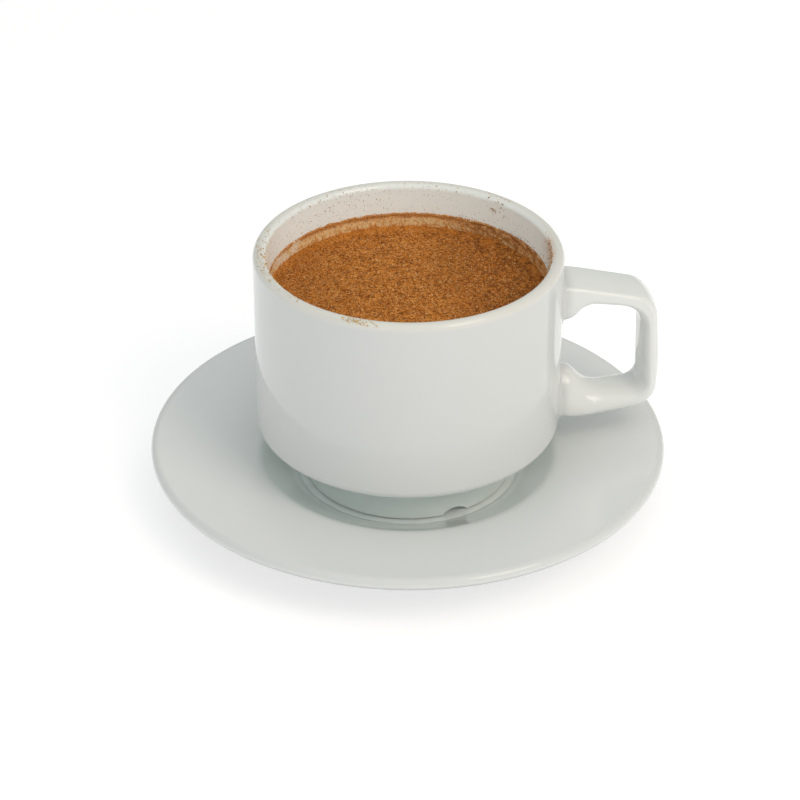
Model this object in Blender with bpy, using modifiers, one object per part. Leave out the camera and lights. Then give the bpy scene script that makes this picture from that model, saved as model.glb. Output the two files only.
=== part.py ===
"""Salep: a thick milk drink dusted with cinnamon, in a porcelain cup on its saucer.

Metres, +Z up. The origin is on the common axis of cup and saucer, on the surface
that the saucer's foot ring stands on. The cup's handle points along +X.
"""

import math

import bmesh
import bpy
from mathutils import Matrix, Vector, noise

COLLECTION_NAME = "salep"
CUTTER_COLLECTION_NAME = "salep_cutters"

# Saucer: a dished plate with a rounded lip and a recess that takes the cup's foot.
SAUCER_RADIUS = 0.0750
SAUCER_LIP_RADIUS = 0.0017
SAUCER_LIP_HEIGHT = 0.01497
SAUCER_LIP_START_DEGREES = 104.0
SAUCER_LIP_END_DEGREES = -72.0
SAUCER_LIP_STEPS = 9
FLANGE_THICKNESS = 0.0040
FLANGE_UNDERSIDE_OUTER = 0.0682
FLANGE_UNDERSIDE_OUTER_DROP = 0.0032
FLANGE_UNDERSIDE_INNER = 0.0445
FLANGE_SAG = 0.0005
FLANGE_STEPS = 3
RECESS_FLOOR_HEIGHT = 0.0062
RECESS_RADIUS = 0.0330
RECESS_EDGE_HEIGHT = 0.00694
RECESS_EDGE_STEPS = 2
WELL_RADIUS = 0.0434
WELL_EDGE_HEIGHT = 0.01146
WELL_EDGE_ROUNDING = 0.0024
WELL_EDGE_STEPS = 3
WELL_SAG = 0.00025
WELL_STEPS = 2
SAUCER_RING_OUTER = 0.0420
SAUCER_RING_INNER = 0.0372
SAUCER_RING_HEIGHT = 0.0024
SAUCER_RING_TOP = 0.00537
SAUCER_RING_ROUNDING = 0.0009
SAUCER_SECTORS = 72

# Gap kept between pieces that touch.
CONTACT_GAP = 0.0003

# Cup: a straight cylinder on a narrower foot, with a rounded lip.
FOOT_BOTTOM = RECESS_FLOOR_HEIGHT + CONTACT_GAP
CUP_RADIUS = 0.0439
CUP_WALL = 0.0042
CUP_LIP_RADIUS = 0.00187
CUP_LIP_TOP = 0.0779
CUP_INNER_TAPER_END = 0.0690
CUP_UNDERSIDE = 0.0219
CUP_CORNER_RADIUS = 0.00275
FOOT_RADIUS = 0.0300
FOOT_NECK_RADIUS = 0.0290
FOOT_FILLET_RADIUS = 0.0060
FOOT_FLARE_HEIGHT = 0.0045
FOOT_ROUNDING = 0.0008
FOOT_RING_WIDTH = 0.0040
FOOT_HOLLOW_DEPTH = 0.0025
ROUNDING_STEPS = 2
CUP_FLOOR_THICKNESS = 0.0040
CUP_FLOOR_ROUNDING = 0.0030
CUP_INSIDE_BEND_STEPS = 2
CUP_INSIDE_FILLET_STEPS = 3
CUP_LIP_STEPS = 8
CUP_OUTSIDE_BEND_STEPS = 4
CUP_SECTORS = 64

# Drain notch in the cup's foot ring, an arch at its lower edge.
NOTCH_WIDTH = 0.0085
NOTCH_HEIGHT = 0.0020
NOTCH_TURN = math.radians(-90.0 + 19.4)
NOTCH_SEGMENTS = 32

# Handle: a flat band bent into a square loop that narrows outwards and flares at the cup.
# Its side view is a closed outline of (reach, height) corners, each with its rounding.
HANDLE_WIDTH = 0.0150
HANDLE_EDGE_RADIUS = 0.0016
HANDLE_EDGE_STEPS = 2
HANDLE_ROOT = 0.0417
HANDLE_CORNERS = [
    ((HANDLE_ROOT, 0.0661), 0.0),
    ((0.0500, 0.0646), 0.0300),
    ((0.0711, 0.0593), 0.0046),
    ((0.0724, 0.0400), 0.0400),
    ((0.0718, 0.0250), 0.0048),
    ((0.0500, 0.0222), 0.0300),
    ((HANDLE_ROOT, 0.0228), 0.0),
    ((HANDLE_ROOT, 0.0356), 0.0),
    ((0.0473, 0.0340), 0.0065),
    ((0.0518, 0.0277), 0.0060),
    ((0.0685, 0.0283), 0.0044),
    ((0.0688, 0.0395), 0.0400),
    ((0.0673, 0.0568), 0.0044),
    ((0.0505, 0.0600), 0.0050),
    ((0.0466, 0.0556), 0.0058),
    ((HANDLE_ROOT, 0.0546), 0.0),
]
ARC_STEP = math.radians(15.0)

# Drink: fills the cup up to its level, with a dusting of cinnamon in low lumps.
DRINK_LEVEL = 0.0640
MENISCUS_RISE = 0.0009
MENISCUS_WIDTH = 0.0024
DRINK_RINGS = 16
DRINK_SECTORS = 64
LUMP_HEIGHT = 0.00045
LUMP_SIZE = 0.0045
SWELL_HEIGHT = 0.00035
SWELL_SIZE = 0.0160
LUMP_SEED = 0.037

CUP_COLOUR = (0.63, 0.63, 0.61)
SAUCER_COLOUR = (0.60, 0.62, 0.59)
CINNAMON_COLOUR = (0.36, 0.13, 0.028)
GLAZE_ROUGHNESS = 0.12
CINNAMON_ROUGHNESS = 0.85

MERGE_DISTANCE = 0.00001
SMOOTH_ANGLE = math.radians(35.0)


def arc(centre, radius, start, end, steps):
    """Points along an arc in the profile's plane, from start to end in degrees."""
    points = []
    for step in range(steps + 1):
        angle = math.radians(start + (end - start) * step / steps)
        points.append((centre[0] + radius * math.cos(angle), centre[1] + radius * math.sin(angle)))
    return points


def rounded_corner(before, corner, after, radius):
    """Points of the arc that rounds a corner between two straight runs."""
    corner, before, after = Vector(corner), Vector(before), Vector(after)
    towards_before = (before - corner).normalized()
    towards_after = (after - corner).normalized()
    half_angle = towards_before.angle(towards_after) / 2.0
    reach = radius / math.tan(half_angle)
    middle = (towards_before + towards_after).normalized()
    centre = corner + middle * (radius / math.sin(half_angle))
    first = corner + towards_before * reach - centre
    turn = first.angle_signed(corner + towards_after * reach - centre)
    steps = max(2, math.ceil(abs(turn) / ARC_STEP))
    points = []
    for step in range(steps + 1):
        spoke = Matrix.Rotation(-turn * step / steps, 2) @ first
        points.append(tuple(centre + spoke))
    return points


def rounded_outline(corners):
    """A closed outline from (point, radius) corners; a radius of 0 leaves a corner sharp."""
    points = []
    for index, (corner, radius) in enumerate(corners):
        if radius == 0.0:
            points.append(corner)
        else:
            before = corners[index - 1][0]
            after = corners[(index + 1) % len(corners)][0]
            points.extend(rounded_corner(before, corner, after, radius))
    return points


def get_collection(name):
    """A collection of the scene with this name, made if it is missing."""
    collection = bpy.data.collections.get(name)
    if collection is None:
        collection = bpy.data.collections.new(name)
        bpy.context.scene.collection.children.link(collection)
    return collection


def add_object(name, data, collection_name):
    """Link new object data into a collection."""
    added = bpy.data.objects.new(name, data)
    get_collection(collection_name).objects.link(added)
    return added


def turned(name, profile, sectors, collection_name):
    """Spin a profile of (radius, height) points round the Z axis."""
    mesh = bpy.data.meshes.new(name)
    vertices = [(radius, 0.0, height) for radius, height in profile]
    edges = [(index, index + 1) for index in range(len(profile) - 1)]
    mesh.from_pydata(vertices, edges, [])
    added = add_object(name, mesh, collection_name)
    screw = added.modifiers.new("Turn", "SCREW")
    screw.axis = "Z"
    screw.steps = sectors
    screw.render_steps = sectors
    screw.use_merge_vertices = True
    screw.merge_threshold = MERGE_DISTANCE
    screw.use_smooth_shade = True
    return added


def as_mesh_object(source, collection_name):
    """Replace an object by a mesh object of its evaluated shape."""
    name = source.name
    bpy.context.view_layer.update()
    evaluated = source.evaluated_get(bpy.context.evaluated_depsgraph_get())
    mesh = bpy.data.meshes.new_from_object(evaluated)
    matrix = source.matrix_world.copy()
    bpy.data.objects.remove(source)
    shell = bmesh.new()
    shell.from_mesh(mesh)
    bmesh.ops.remove_doubles(shell, verts=shell.verts, dist=MERGE_DISTANCE)
    shell.to_mesh(mesh)
    shell.free()
    mesh.name = name
    made = add_object(name, mesh, collection_name)
    made.matrix_world = matrix
    return made


def hide_helper(helper):
    """Mark an object as a cutter or joined shape that isn't a piece itself."""
    helper.hide_render = True
    helper.display_type = "WIRE"


def add_boolean(target, operand, operation):
    """Join or cut the target with another object."""
    boolean = target.modifiers.new(operation.title(), "BOOLEAN")
    boolean.operation = operation
    boolean.object = operand


def give_material(target, name, colour, roughness):
    """Give an object its own Principled material."""
    material = bpy.data.materials.new(name)
    material.use_nodes = True
    shader = material.node_tree.nodes["Principled BSDF"]
    shader.inputs["Base Color"].default_value = (*colour, 1.0)
    shader.inputs["Roughness"].default_value = roughness
    shader.inputs["Metallic"].default_value = 0.0
    material.diffuse_color = (*colour, 1.0)
    target.data.materials.append(material)


def sagging_run(start, end, sag, steps):
    """Points from start to end on a shallow curve that hangs below the straight line."""
    points = []
    for step in range(steps + 1):
        share = step / steps
        radius = start[0] + (end[0] - start[0]) * share
        height = start[1] + (end[1] - start[1]) * share
        points.append((radius, height - 4.0 * sag * share * (1.0 - share)))
    return points


def eased_bend(start, corner, end, steps):
    """Points of a smooth bend from start to end that leans towards the corner."""
    start, corner, end = Vector(start), Vector(corner), Vector(end)
    points = []
    for step in range(steps + 1):
        share = step / steps
        points.append(tuple(start.lerp(corner, share).lerp(corner.lerp(end, share), share)))
    return points


def saucer_upper_profile(lip_start):
    """The saucer's upper face: recess floor, well wall, rounded well edge and dished flange."""
    recess_rise = RECESS_EDGE_HEIGHT - RECESS_FLOOR_HEIGHT
    recess_corner = (RECESS_RADIUS - recess_rise, RECESS_FLOOR_HEIGHT)
    floor_end = (RECESS_RADIUS - 2.0 * recess_rise, RECESS_FLOOR_HEIGHT)
    recess_edge = (RECESS_RADIUS, RECESS_EDGE_HEIGHT)
    well_edge = Vector((WELL_RADIUS, WELL_EDGE_HEIGHT))
    wall_end = well_edge + (Vector(recess_edge) - well_edge).normalized() * WELL_EDGE_ROUNDING
    flange_start = well_edge + (Vector(lip_start) - well_edge).normalized() * WELL_EDGE_ROUNDING
    profile = [(0.0, RECESS_FLOOR_HEIGHT)]
    profile.extend(eased_bend(floor_end, recess_corner, recess_edge, RECESS_EDGE_STEPS))
    profile.extend(sagging_run(recess_edge, tuple(wall_end), WELL_SAG, WELL_STEPS)[1:])
    profile.extend(eased_bend(wall_end, well_edge, flange_start, WELL_EDGE_STEPS)[1:])
    profile.extend(sagging_run(tuple(flange_start), lip_start, FLANGE_SAG, FLANGE_STEPS)[1:-1])
    return profile


def saucer_profile():
    """Half section of the saucer, from the recess's middle out, round the lip and back below."""
    lip_centre = (SAUCER_RADIUS - SAUCER_LIP_RADIUS, SAUCER_LIP_HEIGHT)
    lip_turn = (SAUCER_LIP_START_DEGREES, SAUCER_LIP_END_DEGREES)
    lip = arc(lip_centre, SAUCER_LIP_RADIUS, *lip_turn, SAUCER_LIP_STEPS)
    rounding = SAUCER_RING_ROUNDING
    ring_floor = (SAUCER_RING_OUTER - rounding, rounding)
    ring_inside = (SAUCER_RING_INNER + rounding, rounding)
    profile = saucer_upper_profile(lip[0])
    profile.extend(lip)
    profile.append((FLANGE_UNDERSIDE_OUTER, SAUCER_LIP_HEIGHT - FLANGE_UNDERSIDE_OUTER_DROP))
    profile.append((FLANGE_UNDERSIDE_INNER, WELL_EDGE_HEIGHT - FLANGE_THICKNESS))
    profile.append((SAUCER_RING_OUTER, SAUCER_RING_TOP))
    profile.extend(arc(ring_floor, rounding, 0.0, -90.0, ROUNDING_STEPS))
    profile.extend(arc(ring_inside, rounding, -90.0, -180.0, ROUNDING_STEPS))
    profile.append((SAUCER_RING_INNER - rounding, SAUCER_RING_HEIGHT))
    profile.append((0.0, SAUCER_RING_HEIGHT))
    return profile


def cup_inner_profile():
    """Half section of the cup's inside, from the middle of its floor up to under the lip."""
    inner_radius = CUP_RADIUS - CUP_WALL
    floor_height = FOOT_BOTTOM + FOOT_HOLLOW_DEPTH + CUP_FLOOR_THICKNESS
    fillet_centre = (FOOT_NECK_RADIUS + FOOT_FILLET_RADIUS, CUP_UNDERSIDE - FOOT_FILLET_RADIUS)
    fillet_radius = FOOT_FILLET_RADIUS + CUP_WALL
    well_radius = fillet_centre[0] - fillet_radius
    floor_corner = (well_radius - CUP_FLOOR_ROUNDING, floor_height + CUP_FLOOR_ROUNDING)
    shelf_height = CUP_UNDERSIDE + CUP_WALL
    shelf_corner = (inner_radius - CUP_WALL, shelf_height + CUP_WALL)
    profile = [(0.0, floor_height)]
    profile.extend(arc(floor_corner, CUP_FLOOR_ROUNDING, -90.0, 0.0, CUP_INSIDE_BEND_STEPS))
    profile.extend(arc(fillet_centre, fillet_radius, 180.0, 90.0, CUP_INSIDE_FILLET_STEPS)[1:])
    profile.extend(arc(shelf_corner, CUP_WALL, -90.0, 0.0, CUP_INSIDE_BEND_STEPS))
    return profile


def cup_profile():
    """Half section of the cup, from its inside floor up, over the lip and down to the foot."""
    lip_centre = (CUP_RADIUS - CUP_LIP_RADIUS, CUP_LIP_TOP - CUP_LIP_RADIUS)
    corner = (CUP_RADIUS - CUP_CORNER_RADIUS, CUP_UNDERSIDE + CUP_CORNER_RADIUS)
    fillet = (FOOT_NECK_RADIUS + FOOT_FILLET_RADIUS, CUP_UNDERSIDE - FOOT_FILLET_RADIUS)
    foot_edge = (FOOT_RADIUS - FOOT_ROUNDING, FOOT_BOTTOM + FOOT_ROUNDING)
    ring_inner = FOOT_RADIUS - FOOT_RING_WIDTH
    profile = cup_inner_profile()
    profile.append((CUP_RADIUS - CUP_WALL, CUP_INNER_TAPER_END))
    profile.extend(arc(lip_centre, CUP_LIP_RADIUS, 180.0, 0.0, CUP_LIP_STEPS))
    profile.extend(arc(corner, CUP_CORNER_RADIUS, 0.0, -90.0, CUP_OUTSIDE_BEND_STEPS))
    profile.extend(arc(fillet, FOOT_FILLET_RADIUS, 90.0, 180.0, CUP_OUTSIDE_BEND_STEPS))
    profile.append((FOOT_NECK_RADIUS, FOOT_BOTTOM + FOOT_FLARE_HEIGHT))
    profile.extend(arc(foot_edge, FOOT_ROUNDING, 0.0, -90.0, ROUNDING_STEPS))
    profile.append((ring_inner + FOOT_ROUNDING, FOOT_BOTTOM))
    profile.append((ring_inner, FOOT_BOTTOM + FOOT_HOLLOW_DEPTH))
    profile.append((0.0, FOOT_BOTTOM + FOOT_HOLLOW_DEPTH))
    return profile


def make_saucer():
    """The saucer, one turned piece."""
    saucer = turned("saucer", saucer_profile(), SAUCER_SECTORS, COLLECTION_NAME)
    give_material(saucer, "saucer_porcelain", SAUCER_COLOUR, GLAZE_ROUGHNESS)
    return saucer


def make_handle():
    """The handle's loop, with its root sunk in the cup's wall."""
    curve = bpy.data.curves.new("cup_handle", "CURVE")
    curve.dimensions = "2D"
    curve.fill_mode = "BOTH"
    curve.extrude = HANDLE_WIDTH / 2.0 - HANDLE_EDGE_RADIUS
    curve.bevel_depth = HANDLE_EDGE_RADIUS
    curve.offset = -HANDLE_EDGE_RADIUS
    curve.bevel_resolution = HANDLE_EDGE_STEPS
    outline = rounded_outline(HANDLE_CORNERS)
    spline = curve.splines.new("POLY")
    spline.points.add(len(outline) - 1)
    for point, (reach, height) in zip(spline.points, outline):
        point.co = (reach, height, 0.0, 1.0)
    spline.use_cyclic_u = True
    handle = add_object("cup_handle", curve, CUTTER_COLLECTION_NAME)
    handle.rotation_euler = (math.radians(90.0), 0.0, 0.0)
    handle = as_mesh_object(handle, CUTTER_COLLECTION_NAME)
    hide_helper(handle)
    return handle


def make_notch_cutter():
    """A short cylinder across the foot ring that leaves an arch in its lower edge."""
    half_width = NOTCH_WIDTH / 2.0
    radius = (half_width**2 + NOTCH_HEIGHT**2) / (2.0 * NOTCH_HEIGHT)
    middle = FOOT_RADIUS - FOOT_RING_WIDTH / 2.0
    mesh = bpy.data.meshes.new("notch_cutter")
    shape = bmesh.new()
    bmesh.ops.create_cone(
        shape,
        cap_ends=True,
        segments=NOTCH_SEGMENTS,
        radius1=radius,
        radius2=radius,
        depth=2.0 * FOOT_RING_WIDTH,
        matrix=Matrix.Rotation(math.radians(90.0), 4, "Y"),
    )
    shape.to_mesh(mesh)
    shape.free()
    cutter = add_object("notch_cutter", mesh, CUTTER_COLLECTION_NAME)
    height = FOOT_BOTTOM + NOTCH_HEIGHT - radius
    cutter.location = (middle * math.cos(NOTCH_TURN), middle * math.sin(NOTCH_TURN), height)
    cutter.rotation_euler = (0.0, 0.0, NOTCH_TURN)
    hide_helper(cutter)
    return cutter


def make_cup():
    """The cup, with its handle joined on and the drain notch cut out of its foot."""
    cup = turned("cup", cup_profile(), CUP_SECTORS, COLLECTION_NAME)
    give_material(cup, "cup_porcelain", CUP_COLOUR, GLAZE_ROUGHNESS)
    add_boolean(cup, make_handle(), "UNION")
    add_boolean(cup, make_notch_cutter(), "DIFFERENCE")
    return cup


def drink_top():
    """The drink's upper face from its middle outwards, climbing a little at the wall."""
    edge = CUP_RADIUS - CUP_WALL - CONTACT_GAP
    points = []
    for ring in range(DRINK_RINGS + 1):
        radius = edge * ring / DRINK_RINGS
        climb = max(0.0, 1.0 - (edge - radius) / MENISCUS_WIDTH)
        points.append((radius, DRINK_LEVEL + MENISCUS_RISE * climb**2))
    return points


def drink_profile():
    """Half section of the drink, over its top and down inside the cup with a small gap."""
    below = []
    for radius, height in cup_inner_profile():
        below.append((max(0.0, radius - CONTACT_GAP), height + CONTACT_GAP))
    return drink_top() + below[::-1]


def lump_height(x, y):
    """Height of the cinnamon's lumps above the drink's mean level at a place."""
    swell = noise.noise(Vector((x, y, LUMP_SEED)) / SWELL_SIZE)
    lump = noise.noise(Vector((x, y, LUMP_SEED)) / LUMP_SIZE)
    return SWELL_HEIGHT * swell + LUMP_HEIGHT * lump


def make_drink():
    """The drink up to its level, with the dusting of cinnamon as low relief on it."""
    drink = turned("salep_drink", drink_profile(), DRINK_SECTORS, COLLECTION_NAME)
    drink = as_mesh_object(drink, COLLECTION_NAME)
    edge = CUP_RADIUS - CUP_WALL - CONTACT_GAP
    for vertex in drink.data.vertices:
        x, y, z = vertex.co
        inset = edge - math.hypot(x, y)
        if z > DRINK_LEVEL - CONTACT_GAP:
            fade = min(1.0, inset / MENISCUS_WIDTH)
            vertex.co.z = z + fade * lump_height(x, y)
    give_material(drink, "cinnamon_dusting", CINNAMON_COLOUR, CINNAMON_ROUGHNESS)
    return drink


def clear_scene():
    """Remove what the scene already holds."""
    for existing in list(bpy.data.objects):
        bpy.data.objects.remove(existing)


def shade(piece):
    """Smooth the turned faces and keep the real edges sharp."""
    piece.data.shade_smooth()
    piece.data.set_sharp_from_angle(angle=SMOOTH_ANGLE)


def main():
    """Model the saucer, the cup and the drink."""
    clear_scene()
    make_saucer()
    make_cup()
    shade(make_drink())


main()
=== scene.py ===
"""Salep in a porcelain cup on its saucer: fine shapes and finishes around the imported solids.

Metres, +Z up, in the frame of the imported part: the origin is on the common axis of cup and
saucer, on the surface that the saucer stands on, and the cup's handle points along +X.
"""

import math
import random

import bmesh
import bpy
from mathutils import Matrix, Vector, noise


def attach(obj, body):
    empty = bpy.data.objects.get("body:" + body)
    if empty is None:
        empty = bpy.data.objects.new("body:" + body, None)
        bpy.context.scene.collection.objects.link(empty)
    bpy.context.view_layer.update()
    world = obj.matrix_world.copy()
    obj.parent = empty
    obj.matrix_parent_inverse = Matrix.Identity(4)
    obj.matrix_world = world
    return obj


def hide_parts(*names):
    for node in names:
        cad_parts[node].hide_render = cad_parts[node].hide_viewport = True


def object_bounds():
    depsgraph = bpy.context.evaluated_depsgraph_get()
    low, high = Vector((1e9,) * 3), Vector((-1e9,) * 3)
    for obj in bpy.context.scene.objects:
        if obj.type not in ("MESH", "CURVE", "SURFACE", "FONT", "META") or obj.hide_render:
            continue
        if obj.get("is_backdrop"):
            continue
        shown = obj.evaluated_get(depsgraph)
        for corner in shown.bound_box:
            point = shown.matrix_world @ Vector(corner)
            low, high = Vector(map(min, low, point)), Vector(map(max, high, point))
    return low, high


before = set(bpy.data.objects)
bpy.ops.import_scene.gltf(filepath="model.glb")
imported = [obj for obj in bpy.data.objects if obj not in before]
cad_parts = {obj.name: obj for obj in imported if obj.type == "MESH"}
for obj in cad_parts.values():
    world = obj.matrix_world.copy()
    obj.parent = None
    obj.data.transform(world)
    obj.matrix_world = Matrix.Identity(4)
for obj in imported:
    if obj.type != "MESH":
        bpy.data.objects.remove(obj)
solid_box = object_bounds()

# Saucer.
SAUCER_RADIUS = 0.0750
SAUCER_LIP_RADIUS = 0.0017
SAUCER_LIP_HEIGHT = 0.01497
SAUCER_LIP_START = 104.0
SAUCER_LIP_END = -72.0
SAUCER_LIP_STEPS = 40
SAUCER_SECTORS = 288
FLANGE_THICKNESS = 0.0040
FLANGE_UNDERSIDE_OUTER = 0.0682
FLANGE_UNDERSIDE_INNER = 0.0445
FLANGE_SAG = 0.0005
FLANGE_STEPS = 24
FLANGE_OUTER_DROP = 0.8 * FLANGE_THICKNESS
FLANGE_INNER_DROP = 1.5 * FLANGE_THICKNESS
RECESS_FLOOR_HEIGHT = 0.0062
RECESS_RADIUS = 0.0330
RECESS_EDGE_HEIGHT = 0.00694
RECESS_EDGE_STEPS = 8
WELL_RADIUS = 0.0434
WELL_EDGE_HEIGHT = 0.01146
WELL_EDGE_ROUNDING = 0.0012
WELL_EDGE_STEPS = 12
WELL_SAG = 0.00025
WELL_STEPS = 8
SAUCER_RING_OUTER = 0.0420
SAUCER_RING_INNER = 0.0372
SAUCER_RING_HEIGHT = 0.0024
SAUCER_RING_ROUNDING = 0.0009
RING_STEPS = 6

# Cup.
CUP_RADIUS = 0.0439
CUP_WALL = 0.0042
CUP_LIP_RADIUS = 0.00187
CUP_LIP_TOP = 0.07784
CUP_LIP_STEPS = 32
PART_TOP = 0.0779
CUP_INNER_TAPER_END = 0.0690
CUP_UNDERSIDE = 0.0219
CUP_CORNER_RADIUS = 0.00275
CUP_CORNER_STEPS = 14
CUP_SECTORS = 224
CUP_FLOOR_THICKNESS = 0.0040
CUP_FLOOR_ROUNDING = 0.0030
CUP_FLOOR_STEPS = 8
CUP_INNER_FILLET_STEPS = 12
CUP_SHELF_STEPS = 10
FOOT_BOTTOM = 0.0065
FOOT_RADIUS = 0.0300
FOOT_NECK_RADIUS = 0.0290
FOOT_FILLET_RADIUS = 0.0060
FOOT_FILLET_STEPS = 16
FOOT_FLARE_HEIGHT = 0.0045
FOOT_ROUNDING = 0.0004
FOOT_RING_WIDTH = 0.0040
FOOT_HOLLOW_DEPTH = 0.0025
NOTCH_WIDTH = 0.0085
NOTCH_HEIGHT = 0.0018
NOTCH_TURN = math.radians(-90.0 + 18.7)
NOTCH_SEGMENTS = 96
INNER_RADIUS = CUP_RADIUS - CUP_WALL
LIP_MIDDLE_RADIUS = CUP_RADIUS - CUP_LIP_RADIUS
LIP_MIDDLE_HEIGHT = CUP_LIP_TOP - CUP_LIP_RADIUS

# Handle: outer and inner lines of its side view, as (reach, height) corners and roundings.
HANDLE_WIDTH = 0.0150
HANDLE_SIDE_BAND = 0.0001
HANDLE_OUTER_CROWN = 0.0007
HANDLE_INNER_CROWN = 0.0004
HANDLE_ROOT = 0.0417
HANDLE_FILLET = 0.0012
HANDLE_STATIONS = 260
HANDLE_BEND_STEPS = 24
HANDLE_CORNER_STEPS = 12
HANDLE_FACE_STEPS = 8
HANDLE_OUTER_LINE = [
    ((HANDLE_ROOT, 0.0661), 0.0),
    ((0.0500, 0.0646), 0.0300),
    ((0.0709, 0.0598), 0.0078),
    ((0.0723, 0.0400), 0.0400),
    ((0.0720, 0.0247), 0.0074),
    ((0.0500, 0.0222), 0.0300),
    ((HANDLE_ROOT, 0.0228), 0.0),
]
HANDLE_INNER_LINE = [
    ((HANDLE_ROOT, 0.0546), 0.0),
    ((0.0466, 0.0556), 0.0058),
    ((0.0505, 0.0600), 0.0050),
    ((0.0673, 0.0564), 0.0088),
    ((0.0686, 0.0395), 0.0400),
    ((0.0685, 0.0283), 0.0044),
    ((0.0534, 0.0287), 0.0110),
    ((0.0475, 0.0354), 0.0056),
    ((HANDLE_ROOT, 0.0367), 0.0),
]
# Places along both lines that face each other: (outer corner, inner corner).
HANDLE_PAIRS = [(0, 0), (1, 2), (2, 3), (3, 4), (4, 5), (5, 6), (6, 8)]
# Rounding of the loop's outer edges at each of these places.
HANDLE_OUTER_EDGES = [0.0011, 0.0011, 0.0015, 0.0026, 0.0024, 0.0015, 0.0015]
# Rounding of its inner edges there: how far across and how deep.
HANDLE_INNER_EDGES = [
    (0.0015, 0.0015),
    (0.0015, 0.0015),
    (0.0066, 0.0023),
    (0.0022, 0.0016),
    (0.0046, 0.0028),
    (0.0066, 0.0060),
    (0.0075, 0.0130),
]

# Drink.
DRINK_LEVEL = 0.0640
MENISCUS_RISE = 0.0004
MENISCUS_WIDTH = 0.0024
WALL_BITE = 0.00006
DRINK_RINGS = 108
DRINK_SECTORS = 448
SWELL_HEIGHT = 0.00035
SWELL_SIZE = 0.0160
LUMP_HEIGHT = 0.00045
LUMP_SIZE = 0.0045
CLUMP_HEIGHT = 0.00016
CLUMP_SIZE = 0.0014
CRUMB_HEIGHT = 0.00007
CRUMB_SIZE = 0.0006
LUMP_SEED = 0.037
CLUMP_SEED = 0.2
CRUMB_SEED = 0.5
CALM_WIDTH = 0.0040
CALM_SHARE = 0.25
DRINK_SIDE_RUN = 0.0030

# Film that the drink left on the wall, up to its tide line.
FILM_LOW = 0.0634
FILM_TOP = 0.0688
FILM_CREST = 0.0003
FILM_THICKNESS = 0.00012
FILM_MOTTLE = 0.35
FILM_MOTTLE_PACE = (40.0, 1200.0)
FILM_BEAD = 0.00016
FILM_BEAD_DROP = 0.00045
FILM_BEAD_WIDTH = 0.00035
FILM_FALL = 1.6
FILM_MARGIN = 0.0010
FILM_SUNK = 0.0002
FILM_BACKING = 0.0008
# Waves of the tide line: height, pace round the wall and seed.
TIDE_WAVES = [(0.00034, 18.0, 0.3), (0.00020, 70.0, 0.7)]
FILM_SECTORS = 720
FILM_ROWS = 26

# Loose grains, as shares of their size.
GRAIN_FLATNESS = (0.3, 0.5)
GRAIN_WOBBLE = (0.65, 1.15)
GRAIN_SEAT = 0.5
GRAIN_LIFT = 0.5
GRAIN_LEAN = 0.4
DUSTING_INSET = 0.0003

# Meshes: the angle of a sharp edge and the longest run between two rings.
STEEP_ANGLE = math.radians(35.0)
FINE_RUN = 0.0016


def at_angle(radius, angle, height):
    """The point at this distance from the Z axis, in the direction of this angle."""
    return (radius * math.cos(angle), radius * math.sin(angle), height)


def arc(centre, radius, start, end, steps):
    """Points along an arc in a half section, from start to end in degrees."""
    points = []
    for step in range(steps + 1):
        angle = math.radians(start + (end - start) * step / steps)
        points.append((centre[0] + radius * math.cos(angle), centre[1] + radius * math.sin(angle)))
    return points


def rounded_corner(before, corner, after, radius, steps):
    """Points of the arc that rounds a corner between two straight runs."""
    corner, before, after = Vector(corner), Vector(before), Vector(after)
    towards_before = (before - corner).normalized()
    towards_after = (after - corner).normalized()
    half_angle = towards_before.angle(towards_after) / 2.0
    reach = radius / math.tan(half_angle)
    middle = (towards_before + towards_after).normalized()
    centre = corner + middle * (radius / math.sin(half_angle))
    first = corner + towards_before * reach - centre
    turn = first.angle_signed(corner + towards_after * reach - centre)
    points = []
    for step in range(steps + 1):
        spoke = Matrix.Rotation(-turn * step / steps, 2) @ first
        points.append(tuple(centre + spoke))
    return points


def sagging_run(start, end, sag, steps):
    """Points from start to end on a shallow curve that hangs below the straight line."""
    points = []
    for step in range(steps + 1):
        share = step / steps
        radius, height = Vector(start).lerp(Vector(end), share)
        points.append((radius, height - 4.0 * sag * share * (1.0 - share)))
    return points


def eased_bend(start, corner, end, steps):
    """Points of a smooth bend from start to end that leans towards the corner."""
    start, corner, end = Vector(start), Vector(corner), Vector(end)
    points = []
    for step in range(steps + 1):
        share = step / steps
        points.append(tuple(start.lerp(corner, share).lerp(corner.lerp(end, share), share)))
    return points


def close_points(profile, longest):
    """A line with its long runs split, so that no run is longer than the given length."""
    points = [profile[0]]
    for start, end in zip(profile, profile[1:]):
        length = math.dist(start, end)
        parts = max(1, math.ceil(length / longest))
        for part in range(1, parts + 1):
            share = part / parts
            points.append((start[0] + (end[0] - start[0]) * share, start[1] + (end[1] - start[1]) * share))
    return points


def add_object(name, data):
    """An object in the scene for a mesh, a lamp or a camera."""
    added = bpy.data.objects.new(name, data)
    bpy.context.scene.collection.objects.link(added)
    return added


def add_piece(name, vertices, faces):
    """A smooth-shaded mesh object of these vertices and faces."""
    mesh = bpy.data.meshes.new(name)
    mesh.from_pydata(vertices, [], faces)
    mesh.validate()
    mesh.shade_smooth()
    return add_object(name, mesh)


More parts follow.
